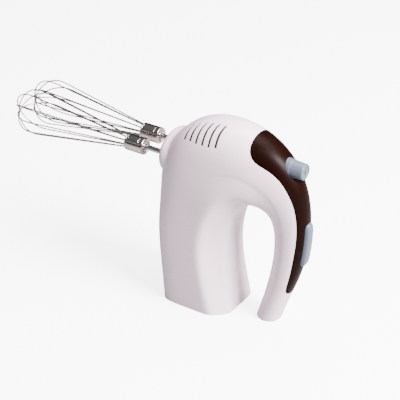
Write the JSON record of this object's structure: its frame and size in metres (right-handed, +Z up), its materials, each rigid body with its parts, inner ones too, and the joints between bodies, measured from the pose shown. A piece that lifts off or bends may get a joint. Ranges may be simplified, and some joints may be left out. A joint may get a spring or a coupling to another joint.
{
  "type": "hand mixer",
  "caption": "Electric hand mixer standing on its heel, with a looped grip, two pull-out wire whisks, a turn-and-push speed and eject knob and a pulse button.",
  "frame": {"origin": "centre of the column's heel face, the underside the mixer stands on", "axes": "+X towards the grip and -X out along the whisks, +Y to the left, +Z up as it stands"},
  "size_m": [0.3432, 0.0762, 0.2058],
  "materials": {
    "casing_white": "satin",
    "panel_brown": "satin",
    "control_grey": "satin",
    "base_white": "matte",
    "wire_chrome": "polished",
    "ferrule_chrome": "polished",
    "shaft_steel": "turned",
    "hub_grey": "matte",
    "frame_plastic": "matte",
    "gear_nylon": "matte",
    "bearing_bronze": "satin",
    "core_steel": "laminated",
    "copper": "satin",
    "black_plastic": "matte",
    "board_green": "matte",
    "gland_rubber": "matte"
  },
  "bodies": {
    "mixer": {"casing_left": "casing_white", "casing_right": "casing_white", "grip_panel": "panel_brown", "heel_plate": "base_white", "foot_plug": "base_white", "nose_cap": "casing_white", "gear_frame": "frame_plastic", "gear_cover": "frame_plastic", "upper_bearing": "bearing_bronze", "lower_bearing": "bearing_bronze", "stator_core": "core_steel", "field_coil_front": "copper", "field_coil_rear": "copper", "motor_frame": "frame_plastic", "carbon_brush_left": "black_plastic", "carbon_brush_right": "black_plastic", "brush_holder_left": "frame_plastic", "brush_holder_right": "frame_plastic", "speed_switch": "black_plastic", "switch_bulkhead": "frame_plastic", "pulse_switch": "black_plastic", "switch_shelf": "frame_plastic", "cord_gland": "gland_rubber", "circuit_board": "board_green", "board_component_1": "black_plastic", "board_component_2": "black_plastic", "board_component_3": "black_plastic"},
    "rotor": {"worm_shaft": "shaft_steel", "armature_core": "core_steel", "armature_winding_lower": "copper", "armature_winding_upper": "copper", "commutator": "copper", "cooling_fan": "gear_nylon"},
    "drive_left": {"spindle_left": "shaft_steel", "worm_wheel_left": "gear_nylon"},
    "drive_right": {"spindle_right": "shaft_steel", "worm_wheel_right": "gear_nylon"},
    "pusher_left": {"eject_pin_left": "shaft_steel"},
    "pusher_right": {"eject_pin_right": "shaft_steel"},
    "beater_left": {"whisk_shaft_left": "shaft_steel", "wire_hub_left": "hub_grey", "ferrule_left": "ferrule_chrome", "whisk_loop_left_1": "wire_chrome", "whisk_loop_left_2": "wire_chrome", "whisk_loop_left_3": "wire_chrome", "whisk_loop_left_4": "wire_chrome", "whisk_loop_left_5": "wire_chrome"},
    "beater_right": {"whisk_shaft_right": "shaft_steel", "wire_hub_right": "hub_grey", "ferrule_right": "ferrule_chrome", "whisk_loop_right_1": "wire_chrome", "whisk_loop_right_2": "wire_chrome", "whisk_loop_right_3": "wire_chrome", "whisk_loop_right_4": "wire_chrome", "whisk_loop_right_5": "wire_chrome"},
    "ejector": {"eject_bar": "frame_plastic", "eject_rod": "shaft_steel"},
    "knob": {"speed_knob": "control_grey"},
    "pulse": {"pulse_button": "control_grey"}
  },
  "joints": [
    {"name": "rotor_spin", "type": "hinge", "parent": "mixer", "child": "rotor", "pos_m": [-0.008, 0, 0.1], "axis": [0, 0, 1], "continuous": true},
    {"name": "drive_left_spin", "type": "hinge", "parent": "mixer", "child": "drive_left", "pos_m": [-0.008, 0.0135, 0.156], "axis": [1, 0, 0], "continuous": true},
    {"name": "drive_right_spin", "type": "hinge", "parent": "mixer", "child": "drive_right", "pos_m": [-0.008, -0.0135, 0.156], "axis": [1, 0, 0], "continuous": true},
    {"name": "eject_press", "type": "slide", "parent": "mixer", "child": "ejector", "axis": [-1, 0, 0], "range_m": [0, 0.0065], "stiffness_N_per_m": 900},
    {"name": "knob_turn", "type": "hinge", "parent": "ejector", "child": "knob", "pos_m": [0.09, 0, 0.174], "axis": [1, 0, 0], "range_deg": [0, 120]},
    {"name": "pulse_press", "type": "slide", "parent": "mixer", "child": "pulse", "axis": [-1, 0, 0], "range_m": [0, 0.0015], "stiffness_N_per_m": 1500},
    {"name": "pusher_left_slide", "type": "slide", "parent": "drive_left", "child": "pusher_left", "axis": [-1, 0, 0], "range_m": [0, 0.0065]},
    {"name": "pusher_right_slide", "type": "slide", "parent": "drive_right", "child": "pusher_right", "axis": [-1, 0, 0], "range_m": [0, 0.0065]},
    {"name": "beater_left_pull", "type": "slide", "parent": "pusher_left", "child": "beater_left", "axis": [-1, 0, 0], "range_m": [0, 0.05]},
    {"name": "beater_right_pull", "type": "slide", "parent": "pusher_right", "child": "beater_right", "axis": [-1, 0, 0], "range_m": [0, 0.05]}
  ],
  "couplings": [
    {"joint": "drive_left_spin", "follows": "rotor_spin", "ratio": 0.052632},
    {"joint": "drive_right_spin", "follows": "rotor_spin", "ratio": -0.052632},
    {"joint": "pusher_left_slide", "follows": "eject_press", "ratio": 1},
    {"joint": "pusher_right_slide", "follows": "eject_press", "ratio": 1},
    {"joint": "beater_right_pull", "follows": "beater_left_pull", "ratio": 1}
  ]
}
